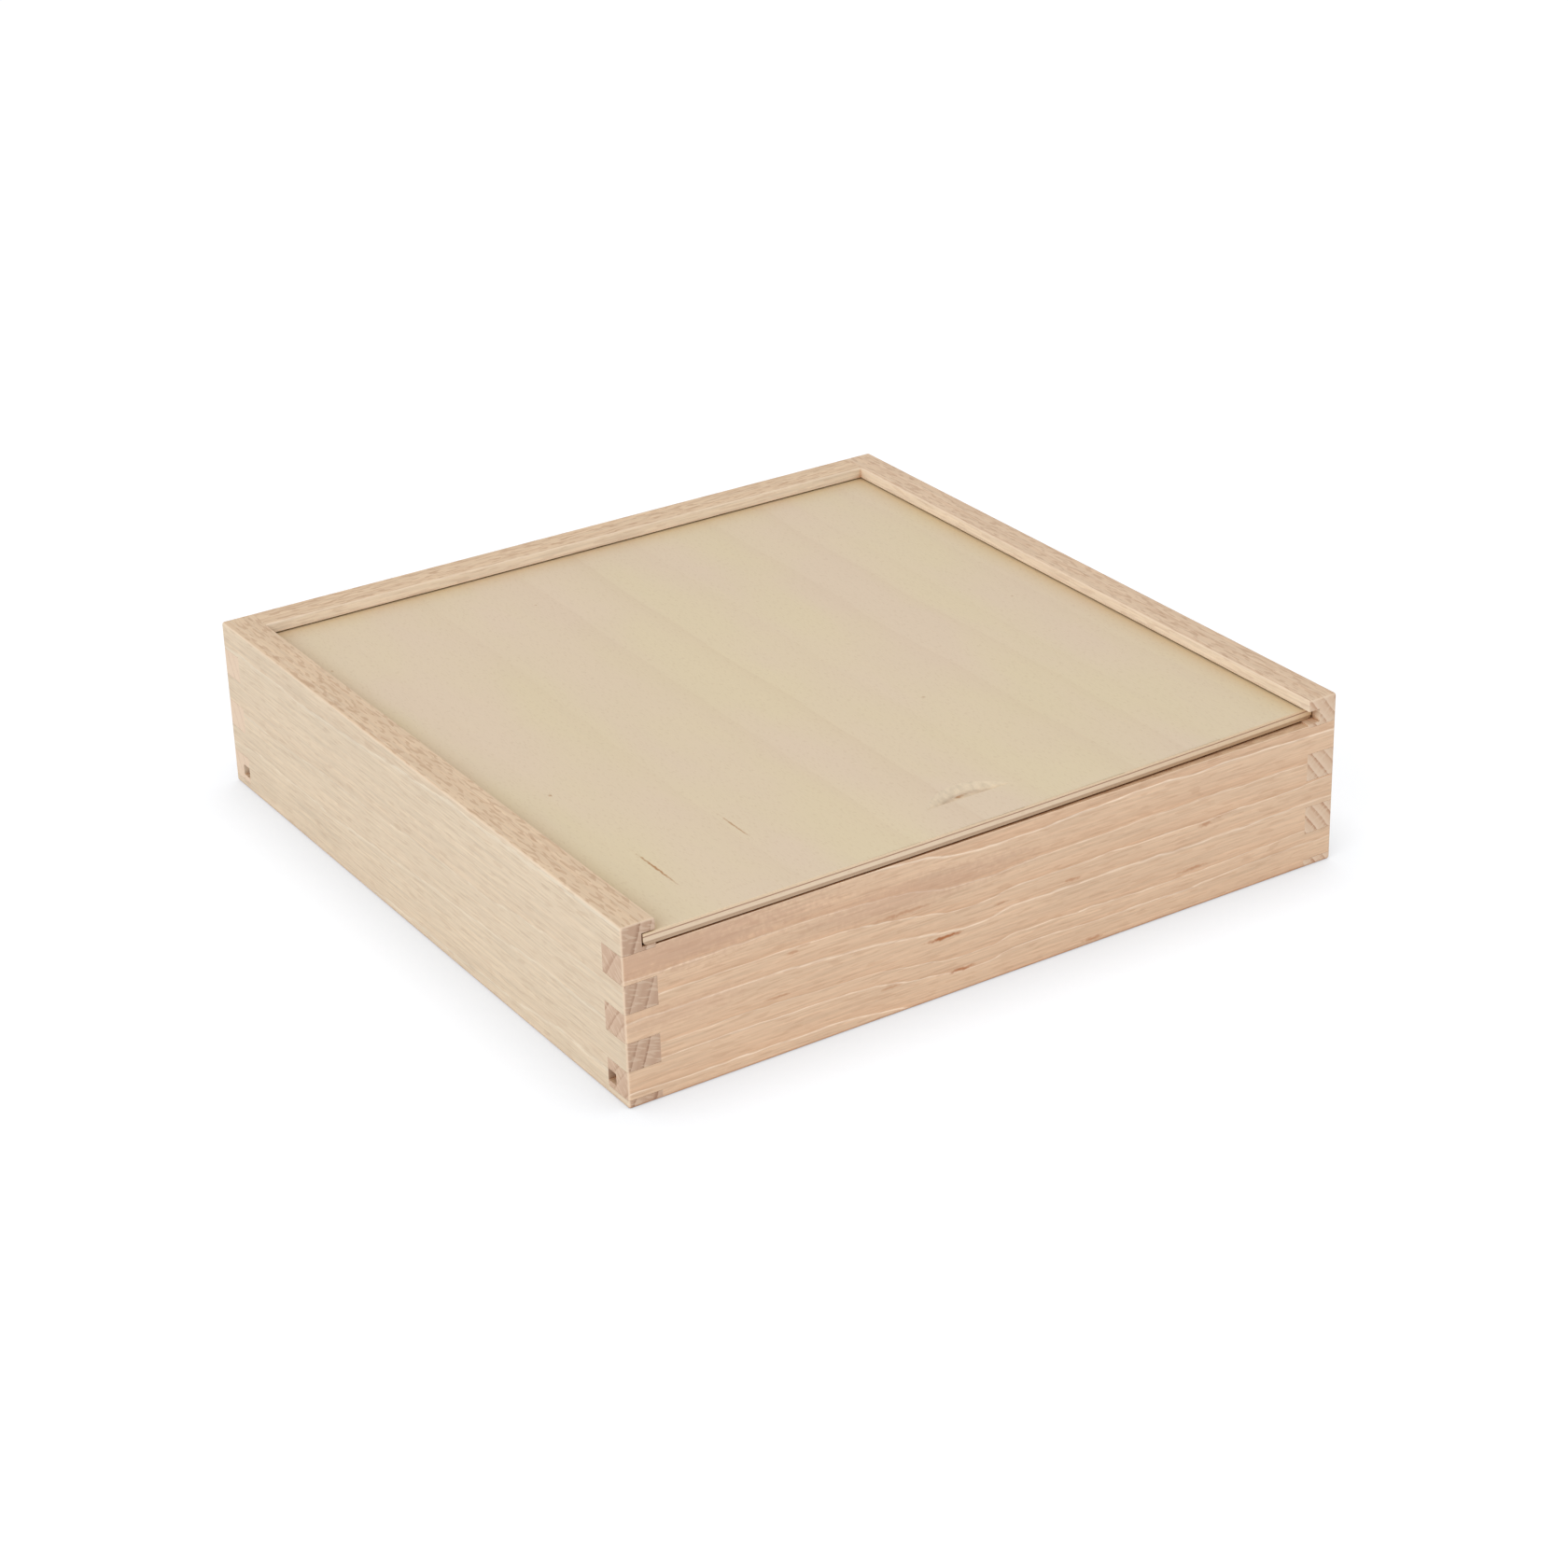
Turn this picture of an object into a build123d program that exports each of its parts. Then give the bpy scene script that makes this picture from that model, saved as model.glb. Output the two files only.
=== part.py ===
from build123d import *
from math import hypot
import os

# Sliding lid wooden box. Four beech walls meet in finger joints. A plywood bottom lies in a groove
# that runs round the walls, and a plywood lid slides out to the front in a second groove.
# Lengths are in millimetres, +Z is up. The origin is on the table, under the middle of the box.
# The front, where the lid comes out, faces -Y. Left and right are as seen from the front.

# Outside of the box
box_width = 276.0
box_depth = 276.0
box_height = 62.0
wall_thickness = 11.8
arris_radius = 1.0  # outer edges, sanded round once the box was glued
mouth_bevel = 0.4  # on the inner edges round the lid
sill_bevel = 0.15  # on the front wall's top edge, between the side walls

# Finger joints
finger_height = 9.85
sill_rise = 0.7  # how much the front wall stands above its own top fingers
smallest_finger = 1.0  # a rest at the foot that is thinner than this stays on the finger above it
glue_line = 0.06  # between the flanks of two fingers

# Plywood lid, of a face veneer, a core and a back veneer
lid_face_thickness = 1.1
lid_core_thickness = 1.8
lid_back_thickness = 1.1
lid_left_gap = 0.5  # from the lid's edges to the bottom of their groove
lid_right_gap = 0.65
lid_back_gap = 0.5
lid_play_below = 0.1
lid_play_above = 0.5
lid_front_setback = 0.1  # of the lid's front edge at the left, behind the box's front
lid_front_straight = 60.0  # of that edge, from the left, before it starts to curve back
lid_front_curve = 3.6  # how much further back the right end is
lid_runner_radius = 1.6  # lower side edges, rounded to run freely
lid_front_radius = 0.25

# Lid groove
lid_groove_depth = 4.7
lip_height = 3.9  # wood above the groove
sill_step = 0.6  # from the top of the front wall up to the groove's floor

# Thumb notch in the lid, a crescent cut by the rim of a coned wheel
notch_width = 33.0
notch_reach = 9.3  # from its straight edge to the top of its arc
notch_depth = 2.0
notch_from_edge = 16.9  # from the straight part of the lid's front edge to the notch's straight edge

# Plywood bottom and its groove
bottom_face_thickness = 1.1
bottom_core_thickness = 1.8
bottom_back_thickness = 1.1
bottom_rise = 4.9  # from the table to the groove's floor
bottom_groove_depth = 4.7
bottom_edge_gap = 0.4
bottom_play = 0.1

# Outer and inner planes of the walls
left = -box_width / 2
right = box_width / 2
front = -box_depth / 2
back = box_depth / 2
inner_left = left + wall_thickness
inner_right = right - wall_thickness
inner_front = front + wall_thickness
inner_back = back - wall_thickness

# Levels at the mouth, worked out from the top down
lid_thickness = lid_face_thickness + lid_core_thickness + lid_back_thickness
lid_groove_top = box_height - lip_height
lid_groove_floor = lid_groove_top - lid_play_above - lid_thickness - lid_play_below
lid_underside = lid_groove_floor + lid_play_below
lid_top = lid_underside + lid_thickness
front_height = lid_groove_floor - sill_step
finger_top = front_height - sill_rise

bottom_thickness = bottom_face_thickness + bottom_core_thickness + bottom_back_thickness
bottom_groove_top = bottom_rise + bottom_thickness + bottom_play

beyond = 5.0  # how far a cutter passes the faces that it leaves through


def block(x_span, y_span, z_span):
    spans = (x_span, y_span, z_span)
    low = [span[0] for span in spans]
    size = [span[1] - span[0] for span in spans]
    return Pos(*low) * Box(*size, align=(Align.MIN, Align.MIN, Align.MIN))


# A corner is where the span of a side wall crosses the span of the front or back wall.
side_spans = {
    "left": (left - beyond, inner_left),
    "right": (inner_right, right + beyond),
}
end_spans = {
    "front": (front - beyond, inner_front),
    "back": (inner_back, back + beyond),
}


def finger_bands():
    # Down to the table. The front and back walls have the first finger, the side walls the next, and
    # so on.
    end_fingers = []
    side_fingers = []
    owner, other = end_fingers, side_fingers
    high = finger_top
    while high > 0:
        low = high - finger_height
        if low < smallest_finger:
            low = 0.0
        owner.append((low, high))
        owner, other = other, owner
        high = low
    return end_fingers, side_fingers


end_fingers, side_fingers = finger_bands()
top_finger = (finger_top, box_height)  # the side walls have the whole top of each corner


def sockets(corners, fingers):
    # Room for the other wall's fingers, wider by half a glue line on each flank
    cutters = []
    for x_span, y_span in corners:
        for low, high in fingers:
            flanks = (low - glue_line / 2, high + glue_line / 2)
            cutters.append(block(x_span, y_span, flanks))
    return cutters


def rounded_outside():
    whole = block((left, right), (front, back), (0, box_height))
    return fillet(whole.edges(), arris_radius)


def mouth_cutter():
    # Leans outwards at 45 degrees, and runs out over the front
    def outline(offset):
        width = inner_right - inner_left + 2 * offset
        depth = inner_back - front + beyond + offset
        middle = inner_back + offset - depth / 2
        level = box_height - mouth_bevel + offset
        return Pos((inner_left + inner_right) / 2, middle, level) * Rectangle(width, depth)

    return loft([outline(0), outline(2 * mouth_bevel)])


def groove_span(inner, outward, depth):
    return tuple(sorted((inner - outward * beyond, inner + outward * depth)))


outside = rounded_outside()
through = beyond + max(box_width, box_depth)
along = (-through, through)
lid_groove_levels = (lid_groove_floor, lid_groove_top)
bottom_groove_levels = (bottom_rise, bottom_groove_top)


# Walls. Their grooves run right through, so the bottom groove of the front and back walls shows
# as small square holes in the sides, and the side walls' lid groove as holes in the back.
def side_wall(side):
    inner, outward = {"left": (inner_left, -1), "right": (inner_right, 1)}[side]
    outer = inner + outward * wall_thickness
    wall = block(tuple(sorted((inner, outer))), (front, back), (0, box_height))
    corners = [(side_spans[side], end_spans[end]) for end in end_spans]
    wall -= sockets(corners, end_fingers)
    wall -= block(groove_span(inner, outward, lid_groove_depth), along, lid_groove_levels)
    wall -= block(groove_span(inner, outward, bottom_groove_depth), along, bottom_groove_levels)
    wall -= mouth_cutter()
    return wall & outside


def front_wall():
    wall = block((left, right), (front, inner_front), (0, front_height))
    corners = [(side_spans[side], end_spans["front"]) for side in side_spans]
    wall -= sockets(corners, side_fingers + [top_finger])
    wall -= block(along, groove_span(inner_front, -1, bottom_groove_depth), bottom_groove_levels)
    bevel_side = hypot(sill_bevel, sill_bevel)
    bevel = Rot(45, 0, 0) * Box(inner_right - inner_left, bevel_side, bevel_side)
    wall -= Pos((inner_left + inner_right) / 2, front, front_height) * bevel
    return wall & outside


def back_wall():
    wall = block((left, right), (inner_back, back), (0, box_height))
    corners = [(side_spans[side], end_spans["back"]) for side in side_spans]
    wall -= sockets(corners, side_fingers + [top_finger])
    wall -= block(along, groove_span(inner_back, 1, lid_groove_depth), lid_groove_levels)
    wall -= block(along, groove_span(inner_back, 1, bottom_groove_depth), bottom_groove_levels)
    wall -= mouth_cutter()
    return wall & outside


# Lid. Its front edge is straight and flush with the box at the left, and was sanded back in a long
# curve towards the right.
lid_left = inner_left - lid_groove_depth + lid_left_gap
lid_right = inner_right + lid_groove_depth - lid_right_gap
lid_back = inner_back + lid_groove_depth - lid_back_gap
lid_front = front + lid_front_setback
lid_middle = (lid_left + lid_right) / 2


def notch_cutter():
    # The wheel stands on edge with its axis along Y, its largest circle over the straight edge.
    half_width = notch_width / 2
    wheel_radius = (half_width**2 + notch_depth**2) / (2 * notch_depth)
    wheel_length = notch_reach + beyond
    small_radius = wheel_radius - notch_depth * wheel_length / notch_reach
    cone = Cone(wheel_radius, small_radius, wheel_length, align=(Align.CENTER, Align.CENTER, Align.MIN))
    straight_edge = lid_front + notch_from_edge
    axle_height = lid_top - notch_depth + wheel_radius
    return Pos(lid_middle, straight_edge, axle_height) * Rot(-90, 0, 0) * cone


def whole_lid():
    front_left = (lid_left, lid_front)
    bend = (lid_left + lid_front_straight, lid_front)
    front_right = (lid_right, lid_front + lid_front_curve)
    front_line = Line(front_left, bend)
    front_curve = TangentArc(bend, front_right, tangent=(1, 0))
    other_sides = Polyline(front_right, (lid_right, lid_back), (lid_left, lid_back), front_left)
    outline = make_face([front_line, front_curve, other_sides])
    lid = Pos(0, 0, lid_underside) * extrude(outline, lid_thickness)
    runners = lid.edges().filter_by(Axis.Y).group_by(Axis.Z)[0]
    lid = fillet(runners, min(lid_runner_radius, 0.9 * lid_thickness))
    front_edges = lid.edges().group_by(Axis.Z)[-1].sort_by(Axis.Y)[:2]
    lid = fillet(front_edges, min(lid_front_radius, 0.9 * lid_face_thickness))
    return lid - notch_cutter()


lid = whole_lid()
lid_core_underside = lid_underside + lid_back_thickness
lid_face_underside = lid_core_underside + lid_core_thickness


def lid_layer(low, thickness):
    return lid & block(along, along, (low, low + thickness))


# Bottom
def bottom_layer(low, thickness):
    reach = bottom_groove_depth - bottom_edge_gap
    x_span = (inner_left - reach, inner_right + reach)
    y_span = (inner_front - reach, inner_back + reach)
    return block(x_span, y_span, (low, low + thickness))


bottom_core_underside = bottom_rise + bottom_back_thickness
bottom_face_underside = bottom_core_underside + bottom_core_thickness

parts = {
    "left_wall": side_wall("left"),
    "right_wall": side_wall("right"),
    "front_wall": front_wall(),
    "back_wall": back_wall(),
    "lid_face_veneer": lid_layer(lid_face_underside, lid_face_thickness),
    "lid_core": lid_layer(lid_core_underside, lid_core_thickness),
    "lid_back_veneer": lid_layer(lid_underside, lid_back_thickness),
    "bottom_face_veneer": bottom_layer(bottom_face_underside, bottom_face_thickness),
    "bottom_core": bottom_layer(bottom_core_underside, bottom_core_thickness),
    "bottom_back_veneer": bottom_layer(bottom_rise, bottom_back_thickness),
}

os.makedirs("parts", exist_ok=True)
for name, piece in parts.items():
    piece.label = name
    export_step(piece, f"parts/{name}.step")
    print(name, round(piece.volume / 1000, 1), "cm3")
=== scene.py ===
import math

import bpy
from mathutils import Euler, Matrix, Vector


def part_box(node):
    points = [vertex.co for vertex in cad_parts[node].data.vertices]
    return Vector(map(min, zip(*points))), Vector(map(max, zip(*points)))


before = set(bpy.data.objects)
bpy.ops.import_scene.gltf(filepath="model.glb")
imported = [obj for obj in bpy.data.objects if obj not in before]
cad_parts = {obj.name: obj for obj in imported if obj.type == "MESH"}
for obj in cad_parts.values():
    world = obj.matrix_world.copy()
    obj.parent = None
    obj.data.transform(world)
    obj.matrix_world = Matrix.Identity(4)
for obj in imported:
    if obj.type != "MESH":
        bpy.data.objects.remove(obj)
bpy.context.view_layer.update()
print("frame loaded:", len(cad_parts), "nodes")

mm = 0.001  # metres


def hexToLinear(hexColour):
    channels = [int(hexColour[i:i + 2], 16) / 255 for i in (1, 3, 5)]
    linear = [c / 12.92 if c <= 0.04045 else ((c + 0.055) / 1.055) ** 2.4 for c in channels]
    return (*linear, 1.0)


def addNode(tree, kind, inputs=None, **settings):
    # A number picks an input by its place, a name picks it among those that the settings leave in use.
    node = tree.nodes.new("ShaderNode" + kind)
    for name, value in settings.items():
        setattr(node, name, value)
    for key, value in (inputs or {}).items():
        if isinstance(key, int):
            socket = node.inputs[key]
        else:
            socket = next(s for s in node.inputs if s.enabled and s.name == key)
        if isinstance(value, bpy.types.NodeSocket):
            tree.links.new(value, socket)
        else:
            socket.default_value = value
    return next((s for s in node.outputs if s.enabled), None)


# Settings of a Mix node, to lay one colour over another and to tint a colour with another
layer = {"data_type": "RGBA"}
tint = {"data_type": "RGBA", "blend_type": "MULTIPLY"}


def setStops(rampSocket, stops):
    # Gives a colour ramp its stops, from (place, colour) pairs in order
    ramp = rampSocket.node.color_ramp
    while len(ramp.elements) > 1:
        ramp.elements.remove(ramp.elements[-1])
    ramp.elements[0].position, ramp.elements[0].color = stops[0]
    for place, colour in stops[1:]:
        ramp.elements.new(place).color = colour
    return rampSocket


def setCurve(curveSocket, points):
    # Gives a float curve its points, from (x, y) pairs in order
    curve = curveSocket.node.mapping.curves[0]
    while len(curve.points) < len(points):
        curve.points.new(0.5, 0.5)
    for point, place in zip(curve.points, points):
        point.location = place
    curveSocket.node.mapping.update()
    return curveSocket


def startMaterial(name):
    material = bpy.data.materials.new(name)
    material.use_nodes = True
    material.node_tree.nodes.clear()
    return material, material.node_tree


# The patterns in the wood take all their places and sizes in millimetres. Each one adds a number of its
# own to the seed of the board, so that no two of them are alike.

def boardAxes(tree, grain, across):
    # The place in the board's own directions: along the grain, out across the rings, and along a ring
    grain, across = Vector(grain).normalized(), Vector(across).normalized()
    place = addNode(tree, "TexCoord").node.outputs["Object"]
    parts = [
        addNode(tree, "VectorMath", {0: place, 1: axis / mm}, operation="DOT_PRODUCT")
        for axis in (grain, across, grain.cross(across))
    ]
    return addNode(tree, "CombineXYZ", dict(enumerate(parts)))


def rowPlace(tree):
    # The place in the box's own directions
    place = addNode(tree, "TexCoord").node.outputs["Object"]
    return addNode(tree, "VectorMath", {0: place, "Scale": 1 / mm}, operation="SCALE")


def wander(tree, place, size, seed, detail=2.0):
    # Soft noise from about -1 to 1, with blotches of this size along each direction
    sized = addNode(tree, "VectorMath", {0: place, 1: [1 / s for s in size], 2: [seed] * 3},
                    operation="MULTIPLY_ADD")
    noise = addNode(tree, "TexNoise", {"Vector": sized, "Scale": 1.0, "Detail": detail})
    return addNode(tree, "MapRange", {"Value": noise, "From Min": 0.25, "From Max": 0.75, "To Min": -1.0},
                   clamp=False)


def flecks(tree, place, size, seed, share):
    # Separate small marks of this size, from 0 to 1; a larger share leaves more of them
    softEdge = 0.35
    noise = wander(tree, place, size, seed, detail=0.0)
    return addNode(tree, "MapRange", {"Value": noise, "From Min": 1 - share,
                                      "From Max": 1 - share + softEdge}, interpolation_type="SMOOTHSTEP")


def facingAlong(tree, axis):
    # 1 on faces square to this direction, where a board shows its end grain, and 0 on those along it
    normal = addNode(tree, "NewGeometry").node.outputs["Normal"]
    along = addNode(tree, "VectorMath", {0: normal, 1: axis}, operation="DOT_PRODUCT")
    size = addNode(tree, "Math", {0: along}, operation="ABSOLUTE")
    return addNode(tree, "MapRange", {"Value": size, "From Min": 0.4, "From Max": 0.85},
                   interpolation_type="SMOOTHSTEP")


def onArris(tree, most):
    # This much on the middle of a rounded edge, and 0 on the flats beside it
    normal = addNode(tree, "NewGeometry").node.outputs["Normal"]
    size = addNode(tree, "VectorMath", {0: normal}, operation="ABSOLUTE")
    parts = addNode(tree, "SeparateXYZ", {0: size}).node.outputs
    largest = addNode(tree, "Math", {0: parts["X"], 1: parts["Y"]}, operation="MAXIMUM")
    largest = addNode(tree, "Math", {0: largest, 1: parts["Z"]}, operation="MAXIMUM")
    return addNode(tree, "MapRange", {"Value": largest, "From Min": 0.97, "From Max": 0.8, "To Max": most},
                   interpolation_type="SMOOTHSTEP")


def layMarks(tree, colour, spots, shade):
    # Lays small marks over the wood, from (centre, half size, strength), with ragged outlines
    if not spots:
        return colour
    raggedness = 1.5  # a higher number breaks the outlines up more
    place = rowPlace(tree)
    shake = addNode(tree, "TexNoise", {"Vector": place, "Scale": 0.5, "Detail": 3.0}).node.outputs["Color"]
    shake = addNode(tree, "VectorMath", {0: shake, 1: (0.5, 0.5, 0.5)}, operation="SUBTRACT")
    total = None
    for centre, halfSize, strength in spots:
        off = addNode(tree, "VectorMath", {0: place, 1: centre}, operation="SUBTRACT")
        sized = addNode(tree, "VectorMath", {0: off, 1: halfSize}, operation="DIVIDE")
        shaken = addNode(tree, "VectorMath", {0: shake, 1: [raggedness] * 3, 2: sized},
                         operation="MULTIPLY_ADD")
        distance = addNode(tree, "VectorMath", {0: shaken}, operation="LENGTH")
        spot = addNode(tree, "MapRange", {"Value": distance, "From Min": 1.0, "From Max": 0.2,
                                          "To Max": strength}, interpolation_type="SMOOTHSTEP")
        total = spot if total is None else addNode(tree, "Math", {0: total, 1: spot}, operation="MAXIMUM")
    return addNode(tree, "Mix", {"Factor": total, "A": colour, "B": hexToLinear(shade)}, **layer)


def paintedGapShade(tree, colour, wood):
    # Painted shade: the colour turns darker where the wood is closed in by a gap or a nearby piece.
    # Light deep in a gap has come off the wood several times, so the painted shade turns brown before it
    # goes dark.
    clear = addNode(tree, "AmbientOcclusion", {"Distance": wood["paintedShadeReach"] * mm}, samples=4)
    stops = [(place, hexToLinear(shade)) for place, shade in wood["paintedShadeStops"]]
    shade = setStops(addNode(tree, "ValToRGB", {"Fac": clear.node.outputs["AO"]}), stops)
    return addNode(tree, "Mix", {"Factor": 1.0, "A": colour, "B": shade}, **tint)


def yearRings(tree, place, board, low, high):
    # Red runs from 0 to 1 through each year, and green says how dark that year ends.
    along = addNode(tree, "SeparateXYZ", {0: place}).node.outputs
    share = addNode(tree, "MapRange", {"Value": along["X"], "From Min": low, "From Max": high})
    first = board["firstRing"]
    span = sum(board["ringWidths"])
    outward = addNode(tree, "MapRange", {"Value": along["Y"], "From Min": first, "From Max": first + span})
    shifts = []
    for sway in board["sways"]:
        most = max(shift for _, shift in sway)
        points = [(x, shift / most) for x, shift in sway]
        curve = setCurve(addNode(tree, "FloatCurve", {"Value": share}), points)
        shifts.append(addNode(tree, "Math", {0: curve, 1: most}, operation="MULTIPLY"))
    shift = addNode(tree, "Mix", {"Factor": outward, "A": shifts[0], "B": shifts[1]}, data_type="FLOAT")
    ring = addNode(tree, "Math", {0: along["Y"], 1: shift}, operation="SUBTRACT")
    for size, bend in board["bends"]:
        noise = wander(tree, place, size, board["seed"] + bend, detail=1.0)
        ring = addNode(tree, "Math", {0: noise, 1: bend, 2: ring}, operation="MULTIPLY_ADD")
    phase = addNode(tree, "MapRange", {"Value": ring, "From Min": first, "From Max": first + span})
    jump = 0.0005  # half the step in the ramp from one year to the next
    stops = []
    start = 0.0
    for width, depth in zip(board["ringWidths"], board["ringDepths"]):
        stops.append((start / span + jump, (0, depth, 0, 1)))
        start += width
        stops.append((start / span - jump, (1, depth, 0, 1)))
    years = setStops(addNode(tree, "ValToRGB", {"Fac": phase}), stops)
    return addNode(tree, "SeparateColor", {0: years}).node.outputs


# Steamed European beech, planed, sanded and left bare: pale, faintly pink and matt. A thin pale line
# opens each year and a browner band closes it. Rays show as short brown dashes along the grain, and
# the end grain is greyer, with its late wood as dark lines and the rays as a fine hatch across them.
# The sizes of marks are in mm along the grain, out across the rings and along a ring. Fibres and rays
# are too fine to show, so the marks are bundles of fibres, and rays a few times as wide as real ones.

beech = {
    "early": "#eedfcd",
    "late": "#cda788",
    "ray": "#a87f60",
    "endEarly": "#e0cab4",
    "endRay": "#d9c4ad",
    "stain": "#c09b83",
    "gum": "#a5653a",
    # The rounded edges are paler, partly from sanding and partly as a painted highlight
    "arris": "#e3cdb4",
    "arrisWearAndHighlight": 0.6,
    "yearProfile": ((0, 0), (0.4, 0.12), (0.8, 0.42), (1, 1)),  # how the wood darkens through a year
    # The bends of the rings, each with its size and how far it shifts them
    "bends": (
        ((70, 22, 30), 0.5),
        ((16, 5, 8), 0.22),
        ((7, 0.9, 0.9), 0.13),
    ),
    "paleLine": (0.02, 0.09),  # the share of a year over which the pale line fades out
    "paleLineTone": 1.6,  # times the figure of the board
    "paleLineFades": (160, 9, 20),  # the stretches over which it comes and goes
    "paleLineGone": (-1.8, -0.2),  # gone where that noise is under the first, whole over the second
    "fibre": (24.0, 0.6, 0.6),
    "fibreTone": (0.08, 0.1),  # on the boards' edges, and on their faces
    "streak": (45.0, 2.2, 2.2),
    "streakTone": 0.03,
    "patch": (90, 12, 20),
    "patchTone": 0.025,
    "dash": (4.6, 0.85, 0.85),
    "dashShare": 0.75,
    "raySize": (7.0, 6.0, 0.7),  # they come out half as long as this, and real ones are 0.1 mm wide
    "rayShare": 0.6,
    "rayTone": 0.16,
    "rayDip": 0.6,  # how much lower the rays lie, against the fibres
    "endPaleSpan": 0.45,  # the share of a year over which its pale early wood fades out
    "endHatch": (3.0, 4.5, 0.8),
    "endHatchShare": 0.8,
    "endHatchTone": 0.35,
    "markDepth": 4.0,  # mm, half of what a stain goes through
    "paintedShadeReach": 3.5,  # mm, how near another piece has to be for the painted shade
    # Painted shade, from how open the wood is (0 closed in, 1 open) to its tint: dark brown in the slit
    # under the lid, the holes and under the lips
    "paintedShadeStops": (
        (0.05, "#42200f"),
        (0.14, "#985c3a"),
        (0.26, "#d8a67a"),
        (0.4, "#f4dfc4"),
        (0.55, "#ffffff"),
    ),
    "roughness": 0.62,
    "roughnessVaries": 0.05,
    "specular": 0.3,
    "fibreDepth": 0.02,  # mm
    "bump": 0.6,
}

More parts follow.
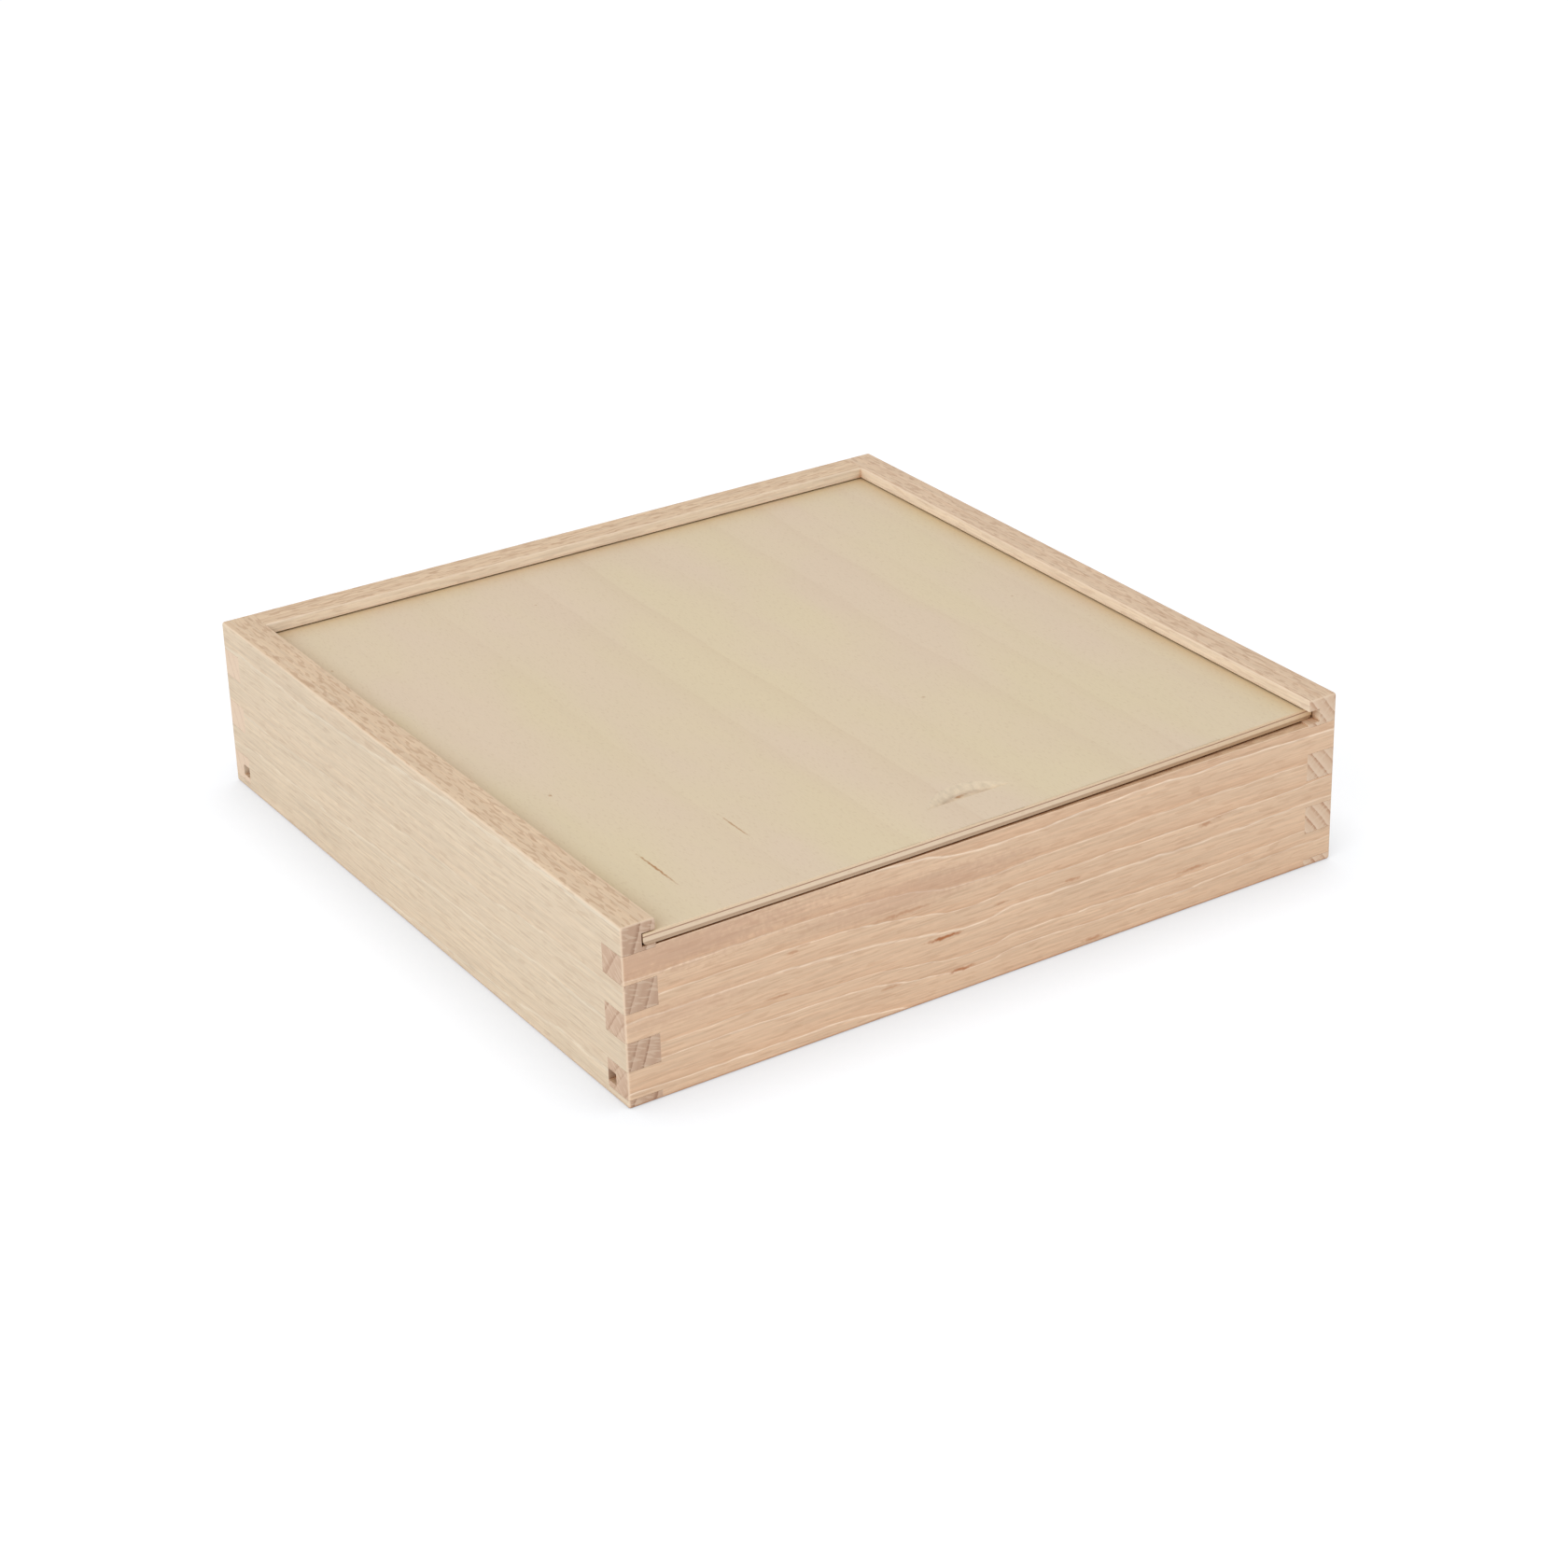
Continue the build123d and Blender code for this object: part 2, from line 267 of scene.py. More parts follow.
# Ring widths and places are in mm outwards from the pith, along "across". "sways" bends the rings along
# the board, as (share of the length, shift in mm), on the side near the pith and on that near the bark.
boards = {
    "left_wall": {
        "grain": (0, 1, 0),
        "across": (1, 0, -0.32),
        "firstRing": -155.4,
        "ringWidths": (4.7, 7.1, 4.0, 5.6, 4.3, 7.2, 5.2),
        "ringDepths": (1.0, 0.8, 0.5, 0.6, 0.9, 0.8, 0.7),
        "sways": (
            ((0, 0), (0.3, 0.7), (0.7, 2.3), (1, 3.2)),
            ((0, 0), (0.3, 0.9), (0.7, 2.1), (1, 3.2)),
        ),
        "body": "#dac3aa",
        "dashes": (0.34, 0.06),  # how strong they are on the board's edges, and on its faces
        # bluish, as painted cool light from the left
        "faceTintAndPaintedLight": "#f6fcfd",
        "edgeTintAndPaintedLight": "#fffbf3",
        "figure": 0.2,
        "endGrain": "#b99a83",
        "endLate": "#866049",
        "endStart": 0.74,  # where in a year the dark line of its late wood starts
        "endFigure": 0.75,
        "endPale": 0.26,
        "stain": (),
        "gum": (),
        "seed": 3.1,
    },
    "right_wall": {
        "grain": (0, 1, 0),
        "across": (1, 0, 0.76),
        "firstRing": 97.1,
        "ringWidths": (3.9, 3.9, 3.8, 4.0, 3.8, 3.7, 3.9, 3.6, 3.7, 3.5, 3.8, 4.0, 4.0),
        "ringDepths": (0.6, 0.9, 0.7, 1.0, 0.6, 0.9, 0.7, 1.0, 0.6, 0.8, 0.7, 0.6, 0.8),
        "sways": (
            ((0, 0.3), (0.5, 0), (1, 0.4)),
            ((0, 0), (0.6, 0.4), (1, 0.3)),
        ),
        "body": "#e4d3bd",
        "dashes": (0.3, 0.07),
        "faceTintAndPaintedLight": "#ffffff",
        "edgeTintAndPaintedLight": "#f4e8dd",
        "figure": 0.5,
        "endGrain": "#d2b69c",
        "endLate": "#a06a48",
        "endStart": 0.6,
        "endFigure": 0.7,
        "endPale": 0.6,
        "stain": (),
        "gum": (),
        "seed": 7.7,
    },
    "front_wall": {
        "grain": (1, 0, 0),
        "across": (0, -1, -0.78),
        "firstRing": 65.8,
        "ringWidths": (9.4, 6.4, 4.8, 4.3, 6.4, 3.0, 5.6, 4.8, 4.0),
        "ringDepths": (0.8, 1.0, 0.9, 0.8, 0.7, 0.6, 0.8, 0.6, 0.6),
        "sways": (
            (
                (0, 0), (0.3, 0.4), (0.4, 1.4), (0.48, 2.6), (0.54, 3.3), (0.67, 2.8), (0.78, 2.6),
                (1, 3.1),
            ),
            (
                (0, 0), (0.25, 0.5), (0.31, 1.3), (0.4, 3.9), (0.47, 5.0), (0.53, 3.1), (0.67, 3.9),
                (0.76, 4.2), (0.84, 3.4), (1, 2.6),
            ),
        ),
        "body": "#dac3aa",
        "dashes": (0.4, 0.07),
        "faceTintAndPaintedLight": "#fdf4ed",
        "edgeTintAndPaintedLight": "#fdf5ea",
        "figure": 0.7,
        "endGrain": "#bfa28b",
        "endLate": "#8c6248",
        "endStart": 0.72,
        "endFigure": 0.45,
        "endPale": 0.17,
        # (place from the left end, height, half length, half height, strength)
        "stain": (
            (10.0, 49.0, 85.0, 9.0, 0.6),
            (105.0, 41.0, 60.0, 7.0, 0.45),
            (20.0, 28.0, 35.0, 5.0, 0.3),
        ),
        "gum": (
            (59.5, 34.6, 3.5, 0.9, 0.45),
            (64.0, 35.7, 3.5, 0.6, 0.3),
            (100.2, 35.1, 13.0, 1.0, 0.4),
            (138.0, 26.7, 3.5, 0.7, 0.4),
            (166.3, 26.3, 4.5, 0.8, 0.5),
            (221.1, 29.6, 3.5, 1.0, 0.55),
            (226.6, 30.9, 4.5, 0.7, 0.3),
            (54.5, 20.9, 7.0, 0.7, 0.45),
            (116.1, 21.4, 9.5, 1.0, 0.95),
            (216.5, 14.9, 9.0, 0.8, 0.5),
            (95.2, 10.3, 6.0, 0.7, 0.4),
            (122.5, 7.9, 7.0, 0.9, 0.8),
            (174.7, 2.0, 6.0, 0.9, 0.55),
        ),
        "seed": 1.3,
    },
    "back_wall": {
        "grain": (1, 0, 0),
        "across": (0, 1, -0.55),
        "firstRing": 80.0,
        "ringWidths": (4.5, 5.0, 4.2, 5.6, 4.4, 4.8, 5.1, 4.3, 4.9, 4.4),
        "ringDepths": (0.7, 0.6, 0.9, 0.7, 0.6, 0.8, 0.7, 0.6, 0.7, 0.8),
        "sways": (
            ((0, 0.6), (0.5, 0), (1, 1.2)),
            ((0, 0.2), (0.5, 0.4), (1, 1.6)),
        ),
        "body": "#e4d3bd",
        "dashes": (0.35, 0.07),
        "faceTintAndPaintedLight": "#ffffff",
        "edgeTintAndPaintedLight": "#f7ebdd",
        "figure": 0.5,
        "endGrain": "#d8c1aa",
        "endLate": "#8c6248",
        "endStart": 0.72,
        "endFigure": 0.25,
        "endPale": 0.09,
        "stain": (),
        "gum": (),
        "seed": 5.9,
    },
}


def longGrain(tree, place, year, board, fibre, rays):
    # The board's faces and edges, cut along the fibres
    seed = board["seed"]
    late = setCurve(addNode(tree, "FloatCurve", {"Value": year["Red"]}), beech["yearProfile"])
    late = addNode(tree, "Math", {0: late, 1: year["Green"]}, operation="MULTIPLY")
    late = addNode(tree, "Math", {0: late, 1: board["figure"]}, operation="MULTIPLY")
    fade = wander(tree, place, beech["paleLineFades"], seed + 5)
    gone, whole = beech["paleLineGone"]
    lineTone = min(beech["paleLineTone"] * board["figure"], 1)
    fade = addNode(tree, "MapRange", {"Value": fade, "From Min": gone, "From Max": whole,
                                      "To Max": lineTone})
    fullLine, lineEnd = beech["paleLine"]
    line = addNode(tree, "MapRange", {"Value": year["Red"], "From Min": lineEnd, "From Max": fullLine,
                                      "To Max": fade}, interpolation_type="SMOOTHSTEP")
    body, lateWood = hexToLinear(board["body"]), hexToLinear(beech["late"])
    colour = addNode(tree, "Mix", {"Factor": late, "A": body, "B": lateWood}, **layer)
    colour = addNode(tree, "Mix", {"Factor": line, "A": colour, "B": hexToLinear(beech["early"])}, **layer)

    streak = wander(tree, place, beech["streak"], seed + 15)
    patch = wander(tree, place, beech["patch"], seed + 20)
    onFace = facingAlong(tree, Vector(board["grain"]).cross((0, 0, 1)))
    edgeTone, faceTone = beech["fibreTone"]
    tone = addNode(tree, "MapRange", {"Value": onFace, "To Min": edgeTone, "To Max": faceTone})
    tone = addNode(tree, "Math", {0: fibre, 1: tone, 2: 1.0}, operation="MULTIPLY_ADD")
    tone = addNode(tree, "Math", {0: streak, 1: beech["streakTone"], 2: tone}, operation="MULTIPLY_ADD")
    tone = addNode(tree, "Math", {0: patch, 1: beech["patchTone"], 2: tone}, operation="MULTIPLY_ADD")
    colour = addNode(tree, "Mix", {"Factor": 1.0, "A": colour, "B": tone}, **tint)

    dashes = flecks(tree, place, beech["dash"], seed + 40, beech["dashShare"])
    edgeDash, faceDash = board["dashes"]
    dashTone = addNode(tree, "MapRange", {"Value": onFace, "To Min": edgeDash, "To Max": faceDash})
    dashes = addNode(tree, "Math", {0: dashes, 1: dashTone}, operation="MULTIPLY")
    colour = addNode(tree, "Mix", {"Factor": dashes, "A": colour, "B": hexToLinear(beech["ray"])}, **layer)
    rays = addNode(tree, "Math", {0: rays, 1: beech["rayTone"]}, operation="MULTIPLY")
    colour = addNode(tree, "Mix", {"Factor": rays, "A": colour, "B": hexToLinear(beech["ray"])}, **layer)
    # These tints set the board's tone and paint the difference in light between its faces and its top and
    # bottom; the left wall's bluish face is painted cool light from the left
    edgeTintAndPaintedLight, faceTintAndPaintedLight = hexToLinear(board["edgeTintAndPaintedLight"]), hexToLinear(board["faceTintAndPaintedLight"])
    boardTintAndPaintedLight = addNode(tree, "Mix", {"Factor": onFace, "A": edgeTintAndPaintedLight, "B": faceTintAndPaintedLight}, **layer)
    return addNode(tree, "Mix", {"Factor": 1.0, "A": colour, "B": boardTintAndPaintedLight}, **tint)


def wallMarks(tree, colour, name):
    # Stains and gum flecks, placed from the left end on the front of the board
    start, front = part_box(name)[0].x / mm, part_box(name)[0].y / mm
    for kind in ("stain", "gum"):
        spots = [((start + x, front, z), (halfLength, beech["markDepth"], halfHeight), strength)
                 for x, z, halfLength, halfHeight, strength in boards[name][kind]]
        colour = layMarks(tree, colour, spots, beech[kind])
    return colour


def endGrain(tree, place, year, board):
    # The board's sawn ends, where the rings show as lines
    line = addNode(tree, "MapRange", {"Value": year["Red"], "From Min": board["endStart"], "From Max": 1.0},
                   interpolation_type="SMOOTHSTEP")
    line = addNode(tree, "Math", {0: line, 1: year["Green"]}, operation="MULTIPLY")
    line = addNode(tree, "Math", {0: line, 1: board["endFigure"]}, operation="MULTIPLY")
    early = addNode(tree, "MapRange", {"Value": year["Red"], "From Min": beech["endPaleSpan"],
                                       "From Max": 0.0, "To Max": board["endPale"]})
    body, earlyWood = hexToLinear(board["endGrain"]), hexToLinear(beech["endEarly"])
    colour = addNode(tree, "Mix", {"Factor": early, "A": body, "B": earlyWood}, **layer)
    endLate = hexToLinear(board["endLate"])
    colour = addNode(tree, "Mix", {"Factor": line, "A": colour, "B": endLate}, **layer)
    hatch = flecks(tree, place, beech["endHatch"], board["seed"] + 35, beech["endHatchShare"])
    hatch = addNode(tree, "Math", {0: hatch, 1: beech["endHatchTone"]}, operation="MULTIPLY")
    return addNode(tree, "Mix", {"Factor": hatch, "A": colour, "B": hexToLinear(beech["endRay"])}, **layer)


def beechMaterial(name):
    board = boards[name]
    material, tree = startMaterial("Sanded beech " + name)
    place = boardAxes(tree, board["grain"], board["across"])
    low, high = [corner.dot(Vector(board["grain"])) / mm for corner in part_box(name)]
    year = yearRings(tree, place, dict(board, bends=beech["bends"]), low, high)
    fibre = wander(tree, place, beech["fibre"], board["seed"] + 10, detail=1.0)
    rays = flecks(tree, place, beech["raySize"], board["seed"] + 30, beech["rayShare"])
    colour = longGrain(tree, place, year, board, fibre, rays)
    colour = wallMarks(tree, colour, name)
    end = facingAlong(tree, board["grain"])
    endColour = endGrain(tree, place, year, board)
    colour = addNode(tree, "Mix", {"Factor": end, "A": colour, "B": endColour}, **layer)
    # Paler rounded edges: sanded wear and a painted highlight
    arris = onArris(tree, beech["arrisWearAndHighlight"])
    colour = addNode(tree, "Mix", {"Factor": arris, "A": colour, "B": hexToLinear(beech["arris"])}, **layer)
    # Painted shade in the gaps, the holes and the slit under the lid
    colour = paintedGapShade(tree, colour, beech)
    height = addNode(tree, "Math", {0: rays, 1: -beech["rayDip"], 2: fibre}, operation="MULTIPLY_ADD")
    bump = addNode(tree, "Bump", {"Strength": beech["bump"], "Distance": beech["fibreDepth"] * mm,
                                  "Height": height})
    rough = addNode(tree, "Math", {0: fibre, 1: beech["roughnessVaries"], 2: beech["roughness"]},
                    operation="MULTIPLY_ADD")
    shader = addNode(tree, "BsdfPrincipled", {"Base Color": colour, "Roughness": rough, "Normal": bump,
                                              "Specular IOR Level": beech["specular"]})
    addNode(tree, "OutputMaterial", {"Surface": shader})
    return material


for wall in boards:
    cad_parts[wall].data.materials[0] = beechMaterial(wall)
print("beech walls done")


# Rotary-cut birch veneer, sanded and bare: pale, creamy, even and matt. The knife follows the rings,
# so they show as wide faint bands with thin soft lines between them, and the pores as fine dashes.
# The sizes of marks are in mm along the grain, across it and through the sheet. Fibres and pores are
# too fine to show, and are drawn a few times as wide as real ones.

birch = {
    "late": "#bf9f82",
    "pore": "#b89a76",
    "glue": "#8f6450",
    "gum": "#a8733c",
    "torn": "#dfceb4",
    "bandSlope": 0.35,  # how much of a band's tone builds up evenly, before the line that ends it
    "bandLine": 6.0,  # a higher power makes that line thinner
    "blush": (90, 34, 34),
    "fibre": (14.0, 0.9, 0.9),
    "fibreTone": 0.016,
    "patch": (110, 40, 40),
    "patchTone": 0.012,
    "poreSize": (2.0, 0.5, 0.5),  # real pores are 0.1 mm wide
    "poreShare": 0.5,
    "poreTone": 0.14,
    "poreDip": 0.8,  # how much lower the pores lie, against the fibres
    "speckle": (1.0, 0.5, 0.5),  # of the fibres' ends on the cut edges
    "speckleTone": 0.07,
    "tearSlopes": (0.88, 0.93, 0.985, 0.998),  # the upward parts of the normal where the wood is torn
    "tear": (1.6, 2.6, 1.6),
    "tearTone": 0.16,
    "tearLevel": 0.98,
    "tearShare": 0.7,
    "glueLine": 0.15,  # mm, half its thickness with the wood that it stained
    "glueSeen": (0.3, 0.85),  # the lower line hardly shows
    "glueUpright": (0.9, 0.5),  # the upward parts of the normal from a slant to an upright edge
    "glueOnSlant": 0.25,
    "blushEdge": 0.6,  # a lower number makes the pinker patches end more sharply
    "markDepth": 3.0,  # mm, half of what a gum mark goes through
    "paintedShadeReach": 10.0,  # mm, of the painted shade on the lid
    # Painted shade: a golden-brown tint on the lid near the walls, darker where it runs under the lips
    "paintedShadeStops": (
        (0.03, "#c2a080"),
        (0.1, "#d8ba98"),
        (0.25, "#ecdbc2"),
        (0.5, "#f7eddb"),
        (0.8, "#fcf6ea"),
        (1.0, "#ffffff"),
    ),
    "roughness": 0.6,
    "roughnessVaries": 0.04,
    "specular": 0.3,
    "fibreDepth": 0.015,  # mm
    "bump": 0.5,
}

sheets = {
    "face_veneer": {
        "grain": (0, 1, 0),
        "body": "#dbcaaa",
        "blush": "#dbc7ae",
        "endGrain": "#dcc4a6",
        "figure": 0.1,
        "seed": 11.0,
    },
    "core": {
        "grain": (1, 0, 0),
        "body": "#dfcab0",
        "blush": "#dcc6ac",
        "endGrain": "#c2a283",
        "figure": 0.1,
        "seed": 4.0,
    },
    "back_veneer": {
        "grain": (0, 1, 0),
        "body": "#cfb99b",
        "blush": "#cfb59b",
        "endGrain": "#b59a80",
        "figure": 0.2,
        "seed": 11.0,
    },
}

# The bands of the veneers, from the left edge of the panel
veneerRings = {
    "firstRing": -160.0,
    "ringWidths": (24, 26, 38, 39, 26.6, 26, 33, 22, 14, 25, 40),
    "ringDepths": (0.4, 0.3, 0.5, 0.7, 1.0, 0.4, 0.7, 0.8, 0.6, 0.5, 0.5),
    "sways": (
        ((0, 0), (0.4, 2.0), (0.7, 6.0), (1, 7.0)),
        ((0, 5), (0.4, 2.0), (0.7, 0.0), (1, 2.0)),
    ),
    "bends": (
        ((120, 30, 60), 2.5),
        ((30, 10, 12), 0.6),
    ),
}

# Gum marks are (across from the middle, along from the middle, half width, half length, strength).
panels = {
    "lid": {
        "seed": 2.0,
        "gum": {
            "face_veneer": (
                (-105.7, -105.0, 0.6, 16.0, 0.9),
                (-71.2, -94.0, 0.5, 12.0, 0.7),
                (-107.5, -42.2, 0.8, 1.2, 0.6),
                (-120.9, 85.3, 0.8, 1.0, 0.5),
                (-36.5, 93.5, 0.8, 0.9, 0.4),
                (30.7, -52.0, 1.0, 1.0, 0.4),
                (105.3, -1.0, 0.8, 0.8, 0.35),
            ),
            "core": (
                (0.8, -116.6, 4.5, 1.3, 0.75),
                (-1.5, -117.7, 3.0, 1.0, 0.7),
            ),
        },
    },
    "bottom": {
        "seed": 12.0,
        "gum": {},
    },
}


def veneerFace(tree, place, name, sheet, seed, fibre, pores):
    grain = Vector(sheet["grain"])
    ringPlace = boardAxes(tree, grain, Vector((1, 1, 0)) - grain)
    low, high = [corner.dot(grain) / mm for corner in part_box(name)]
    year = yearRings(tree, ringPlace, dict(veneerRings, seed=seed), low, high)
    late = addNode(tree, "Math", {0: year["Red"], 1: birch["bandLine"]}, operation="POWER")
    band = addNode(tree, "Math", {0: year["Red"], 1: birch["bandSlope"], 2: late}, operation="MULTIPLY_ADD")
    band = addNode(tree, "Math", {0: band, 1: year["Green"]}, operation="MULTIPLY")
    band = addNode(tree, "Math", {0: band, 1: sheet["figure"]}, operation="MULTIPLY")
    blush = wander(tree, place, birch["blush"], seed + 8)
    blush = addNode(tree, "MapRange", {"Value": blush, "From Min": -birch["blushEdge"],
                                       "From Max": birch["blushEdge"]})
    body, pinker = hexToLinear(sheet["body"]), hexToLinear(sheet["blush"])
    colour = addNode(tree, "Mix", {"Factor": blush, "A": body, "B": pinker}, **layer)
    colour = addNode(tree, "Mix", {"Factor": band, "A": colour, "B": hexToLinear(birch["late"])}, **layer)
    patch = wander(tree, place, birch["patch"], seed + 3)
    tone = addNode(tree, "Math", {0: fibre, 1: birch["fibreTone"], 2: 1.0}, operation="MULTIPLY_ADD")
    tone = addNode(tree, "Math", {0: patch, 1: birch["patchTone"], 2: tone}, operation="MULTIPLY_ADD")
    colour = addNode(tree, "Mix", {"Factor": 1.0, "A": colour, "B": tone}, **tint)
    pores = addNode(tree, "Math", {0: pores, 1: birch["poreTone"]}, operation="MULTIPLY")
    return addNode(tree, "Mix", {"Factor": pores, "A": colour, "B": hexToLinear(birch["pore"])}, **layer)


def cutEdge(tree, place, colour, sheet, seed):
    speckle = wander(tree, place, birch["speckle"], seed + 6)
    speckle = addNode(tree, "Math", {0: speckle, 1: birch["speckleTone"], 2: 1.0}, operation="MULTIPLY_ADD")
    cut = addNode(tree, "Mix", {"Factor": 1.0, "A": hexToLinear(sheet["endGrain"]), "B": speckle}, **tint)
    end = facingAlong(tree, sheet["grain"])
    return addNode(tree, "Mix", {"Factor": end, "A": colour, "B": cut}, **layer)


def tornSlope(tree, colour, upward, seed):
    # Where a cut slants through the layers the wood is torn a little, and so paler and uneven.
    off, on = (0, 0, 0, 1), (1, 1, 1, 1)
    stops = list(zip(birch["tearSlopes"], (off, on, on, off)))
    slope = setStops(addNode(tree, "ValToRGB", {"Fac": upward}), stops)
    slope = addNode(tree, "Math", {0: slope, 1: birch["tearShare"]}, operation="MULTIPLY")
    tear = wander(tree, rowPlace(tree), birch["tear"], seed + 7)
    tear = addNode(tree, "Math", {0: tear, 1: birch["tearTone"], 2: birch["tearLevel"]},
                   operation="MULTIPLY_ADD")
    torn = addNode(tree, "Mix", {"Factor": 1.0, "A": hexToLinear(birch["torn"]), "B": tear}, **tint)
    return addNode(tree, "Mix", {"Factor": slope, "A": colour, "B": torn}, **layer)


def glueLines(tree, colour, upward, panel):
    # They are thin on an upright edge, and a slanting cut spreads them out until they hardly show.
    level = addNode(tree, "SeparateXYZ", {0: rowPlace(tree)}).node.outputs["Z"]
    slanting, standing = birch["glueUpright"]
    upright = addNode(tree, "MapRange", {"Value": upward, "From Min": slanting, "From Max": standing,
                                         "To Min": birch["glueOnSlant"]})
    glueLevels = [corner.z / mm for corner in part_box(panel + "_core")]
    for glueLevel, strength in zip(glueLevels, birch["glueSeen"]):
        off = addNode(tree, "Math", {0: level, 1: glueLevel}, operation="SUBTRACT")
        far = addNode(tree, "Math", {0: off}, operation="ABSOLUTE")
        glue = addNode(tree, "MapRange", {"Value": far, "From Min": birch["glueLine"] * 2,
                                          "From Max": birch["glueLine"] * 0.5, "To Max": strength})
        glue = addNode(tree, "Math", {0: glue, 1: upright}, operation="MULTIPLY")
        shade = hexToLinear(birch["glue"])
        colour = addNode(tree, "Mix", {"Factor": glue, "A": colour, "B": shade}, **layer)
    return colour


def plyMaterial(panel, sheetName):
    name = panel + "_" + sheetName
    sheet = sheets[sheetName]
    seed = panels[panel]["seed"] + sheet["seed"]
    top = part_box(panel + "_face_veneer")[1].z / mm
    spots = [((x, y, top), (halfWidth, halfLength, birch["markDepth"]), strength)
             for x, y, halfWidth, halfLength, strength in panels[panel]["gum"].get(sheetName, ())]
    material, tree = startMaterial("Sanded birch plywood " + name)
    place = boardAxes(tree, sheet["grain"], (0, 0, 1))
    fibre = wander(tree, place, birch["fibre"], seed + 2, detail=3.0)
    pores = flecks(tree, place, birch["poreSize"], seed + 4, birch["poreShare"])
    colour = veneerFace(tree, place, name, sheet, seed, fibre, pores)
    colour = cutEdge(tree, place, colour, sheet, seed)
    normal = addNode(tree, "NewGeometry").node.outputs["Normal"]
    upward = addNode(tree, "SeparateXYZ", {0: normal}).node.outputs["Z"]
    colour = tornSlope(tree, colour, upward, seed)
    colour = layMarks(tree, colour, spots, birch["gum"])
    colour = glueLines(tree, colour, upward, panel)
    # Painted shade near the walls and under the lips
    colour = paintedGapShade(tree, colour, birch)
    height = addNode(tree, "Math", {0: pores, 1: -birch["poreDip"], 2: fibre}, operation="MULTIPLY_ADD")
    bump = addNode(tree, "Bump", {"Strength": birch["bump"], "Distance": birch["fibreDepth"] * mm,
                                  "Height": height})
    rough = addNode(tree, "Math", {0: fibre, 1: birch["roughnessVaries"], 2: birch["roughness"]},
                    operation="MULTIPLY_ADD")
    shader = addNode(tree, "BsdfPrincipled", {"Base Color": colour, "Roughness": rough, "Normal": bump,
                                              "Specular IOR Level": birch["specular"]})
    addNode(tree, "OutputMaterial", {"Surface": shader})
    return material


for panel in panels:
    for sheetName in sheets:
        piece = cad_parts[panel + "_" + sheetName]
        piece.data.materials[0] = plyMaterial(panel, sheetName)
print("plywood done")


# Matt white paper scatters nearly all of its light evenly. One large soft light stands at the left, and
# a pale surround fills the shadows.
studio = {
    "floorSize": 14.0,  # metres
    "floorDrop": 0.05,  # mm, keeps it off the box's underside
    "paper": "#f2f2f2",
    "paperSeen": "#9b9ea3",  # the camera sees this much of the light on the paper, and so of the shadow
    "glow": 0.74,  # and this much white, so that the floor comes out white
    "paintedShadowReach": 30.0,  # mm, of the painted contact shadow where the box stands
    # how much the painted contact shadow dims the floor's glow right at the box
    "paintedContactShadow": 0.5,
    "fillAtHorizon": 1.25,  # brighter low down, as in a light tent, so that the sides aren't dull
    "fillOverhead": 0.58,
    "keyPower": 37.5,  # watts
    "keySize": 2.4,  # metres across
    "keyPlace": (-2.6, -1.2, 1.9),
}

white = (1, 1, 1, 1)

floorMesh = bpy.data.meshes.new("studioFloor")
half = studio["floorSize"] / 2
corners = [(-half, -half, 0), (half, -half, 0), (half, half, 0), (-half, half, 0)]
floorMesh.from_pydata(corners, [], [(0, 1, 2, 3)])
floor = bpy.data.objects.new("studioFloor", floorMesh)
floor.location.z = -studio["floorDrop"] * mm
bpy.context.scene.collection.objects.link(floor)


def seenDirectly(tree):
    # 1 for what the camera sees, also by a reflection or through something clear
    seen = addNode(tree, "LightPath").node.outputs
    direct = addNode(tree, "Math", {0: seen["Is Camera Ray"], 1: seen["Is Glossy Ray"]},
                     operation="MAXIMUM")
    return addNode(tree, "Math", {0: direct, 1: seen["Is Transmission Ray"]}, operation="MAXIMUM")


floorMaterial, tree = startMaterial("Matt white paper")
direct = seenDirectly(tree)
paper = addNode(tree, "BsdfDiffuse", {"Color": hexToLinear(studio["paper"])})
seenPaper = addNode(tree, "BsdfDiffuse", {"Color": hexToLinear(studio["paperSeen"])})
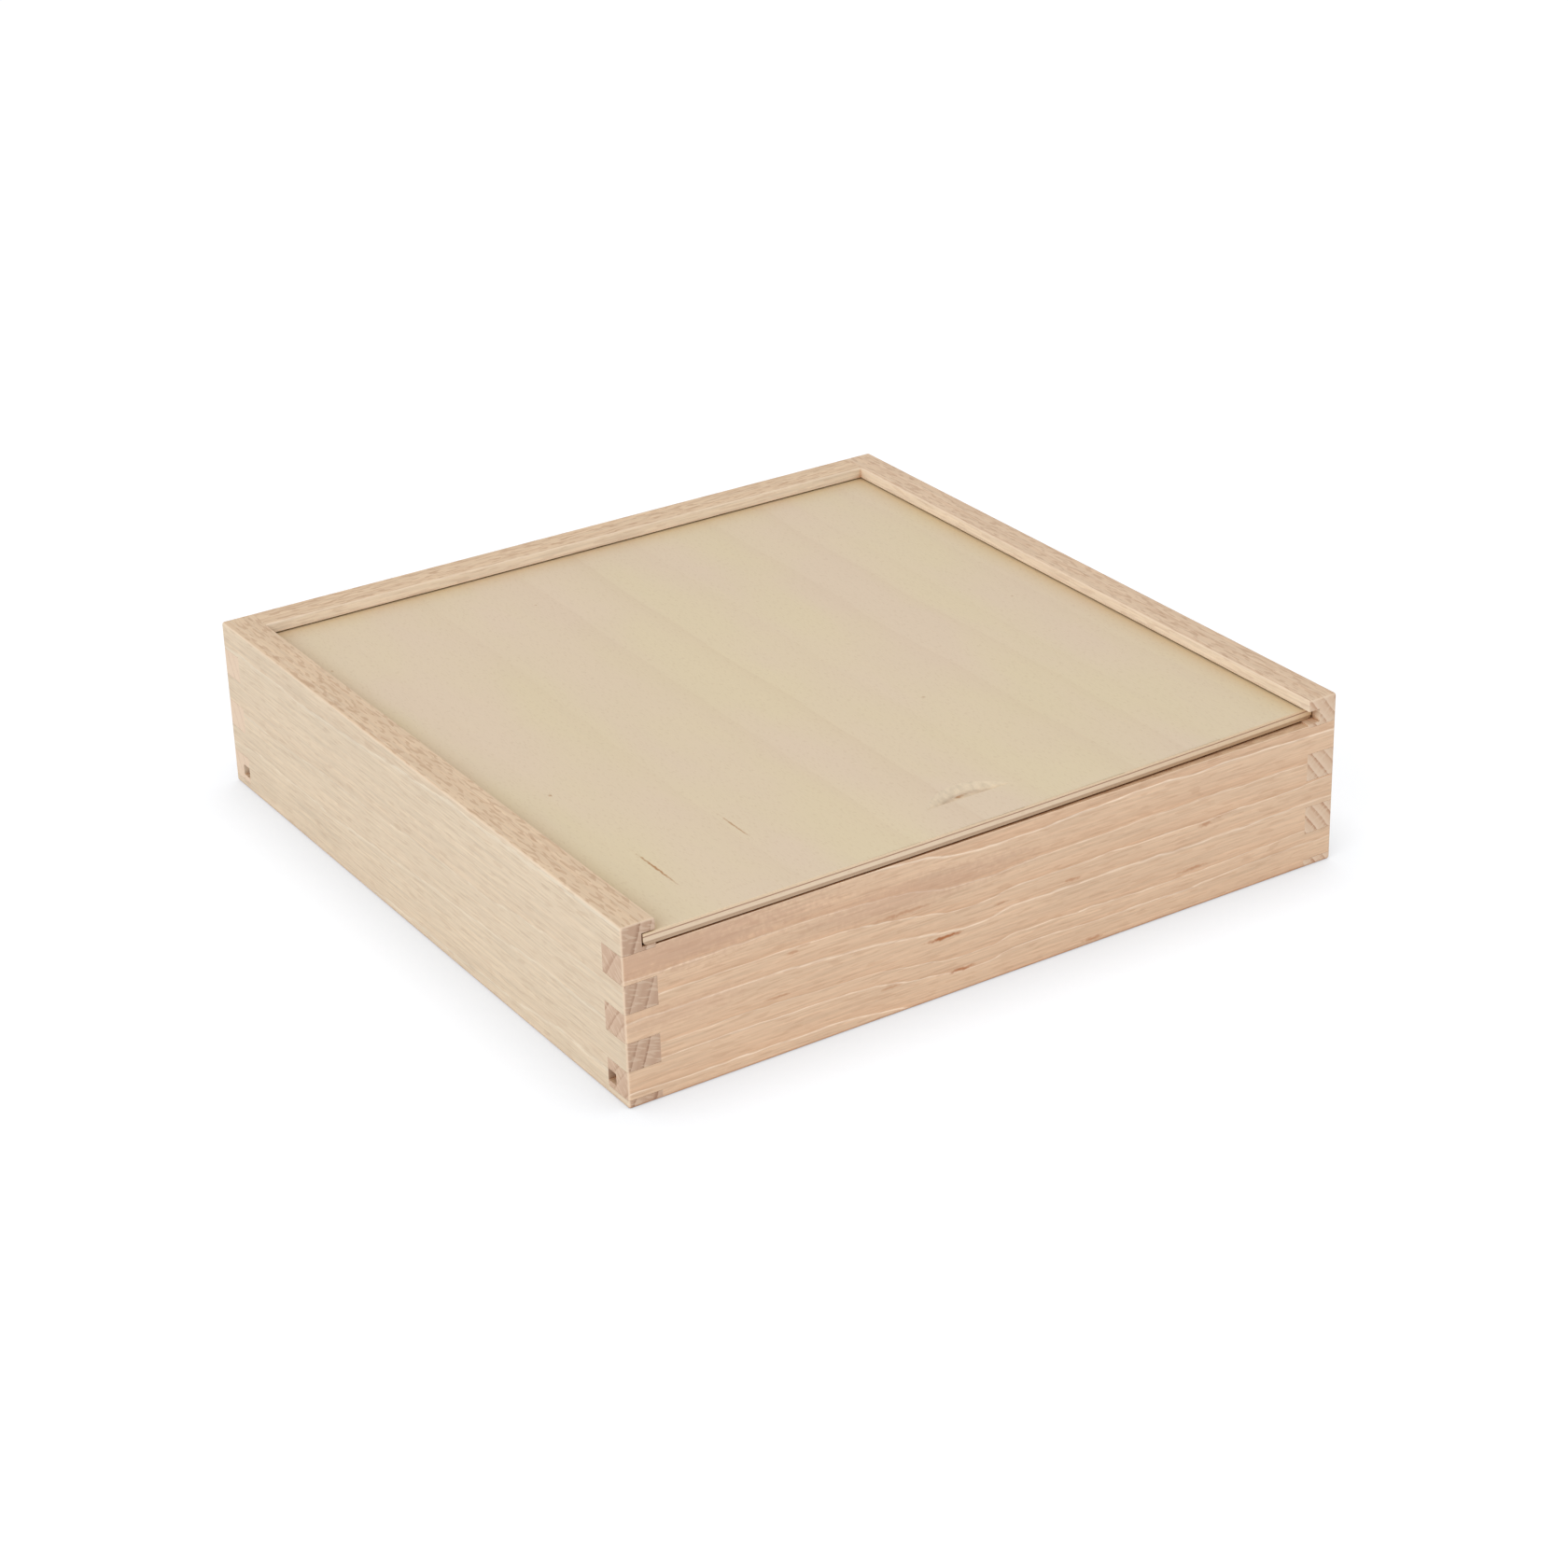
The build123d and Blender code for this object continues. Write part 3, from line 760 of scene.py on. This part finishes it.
# Painted shadow: the glow that the camera sees on the floor is dimmed near the box, by how closed in the
# floor is there
clear = addNode(tree, "AmbientOcclusion", {"Distance": studio["paintedShadowReach"] * mm}).node.outputs["AO"]
shade = addNode(tree, "MapRange", {"Value": clear, "To Min": studio["glow"] * (1 - studio["paintedContactShadow"]),
                                   "To Max": studio["glow"]})
glow = addNode(tree, "Emission", {"Color": white, "Strength": shade})
shown = addNode(tree, "AddShader", {0: seenPaper, 1: glow})
addNode(tree, "OutputMaterial", {"Surface": addNode(tree, "MixShader", {0: direct, 1: paper, 2: shown})})
floorMesh.materials.append(floorMaterial)

world = bpy.data.worlds.new("studioWorld")
bpy.context.scene.world = world
world.use_nodes = True
tree = world.node_tree
tree.nodes.clear()
direct = seenDirectly(tree)
backdrop = addNode(tree, "Background", {"Color": white, "Strength": 1.0})
skyward = addNode(tree, "TexCoord").node.outputs["Generated"]
skyward = addNode(tree, "SeparateXYZ", {0: skyward}).node.outputs["Z"]
strength = addNode(tree, "MapRange", {"Value": skyward, "To Min": studio["fillAtHorizon"],
                                      "To Max": studio["fillOverhead"]})
fill = addNode(tree, "Background", {"Color": white, "Strength": strength})
addNode(tree, "OutputWorld", {"Surface": addNode(tree, "MixShader", {0: direct, 1: fill, 2: backdrop})})

keyLight = bpy.data.lights.new("keySoftbox", "AREA")
keyLight.shape = "DISK"
keyLight.size = studio["keySize"]
keyLight.energy = studio["keyPower"]
key = bpy.data.objects.new("keySoftbox", keyLight)
key.location = studio["keyPlace"]
key.rotation_euler = (-key.location).to_track_quat("-Z", "Y").to_euler()
bpy.context.scene.collection.objects.link(key)
print("floor and light done")


view = {
    "lens": 79.862,
    "sensorWidth": 36.0,
    "place": (-0.57315, -0.92020, 0.55218),
    "azimuth": -33.248,  # degrees round from straight on to the front
    "elevation": 25.363,
    "roll": -1.278,
    "shift": (-0.0340, -0.0429),
}

cameraData = bpy.data.cameras.new("camera")
cameraData.lens = view["lens"]
cameraData.sensor_width = view["sensorWidth"]
cameraData.shift_x, cameraData.shift_y = view["shift"]
camera = bpy.data.objects.new("camera", cameraData)
camera.location = view["place"]
turn = Euler((0, 0, math.radians(view["azimuth"]))).to_matrix()
tilt = Euler((math.radians(90 - view["elevation"]), 0, 0)).to_matrix()
lean = Euler((0, 0, math.radians(view["roll"]))).to_matrix()
camera.rotation_euler = (turn @ tilt @ lean).to_euler()
bpy.context.scene.collection.objects.link(camera)
bpy.context.scene.camera = camera
bpy.context.scene.view_settings.view_transform = "Standard"
print("camera done")
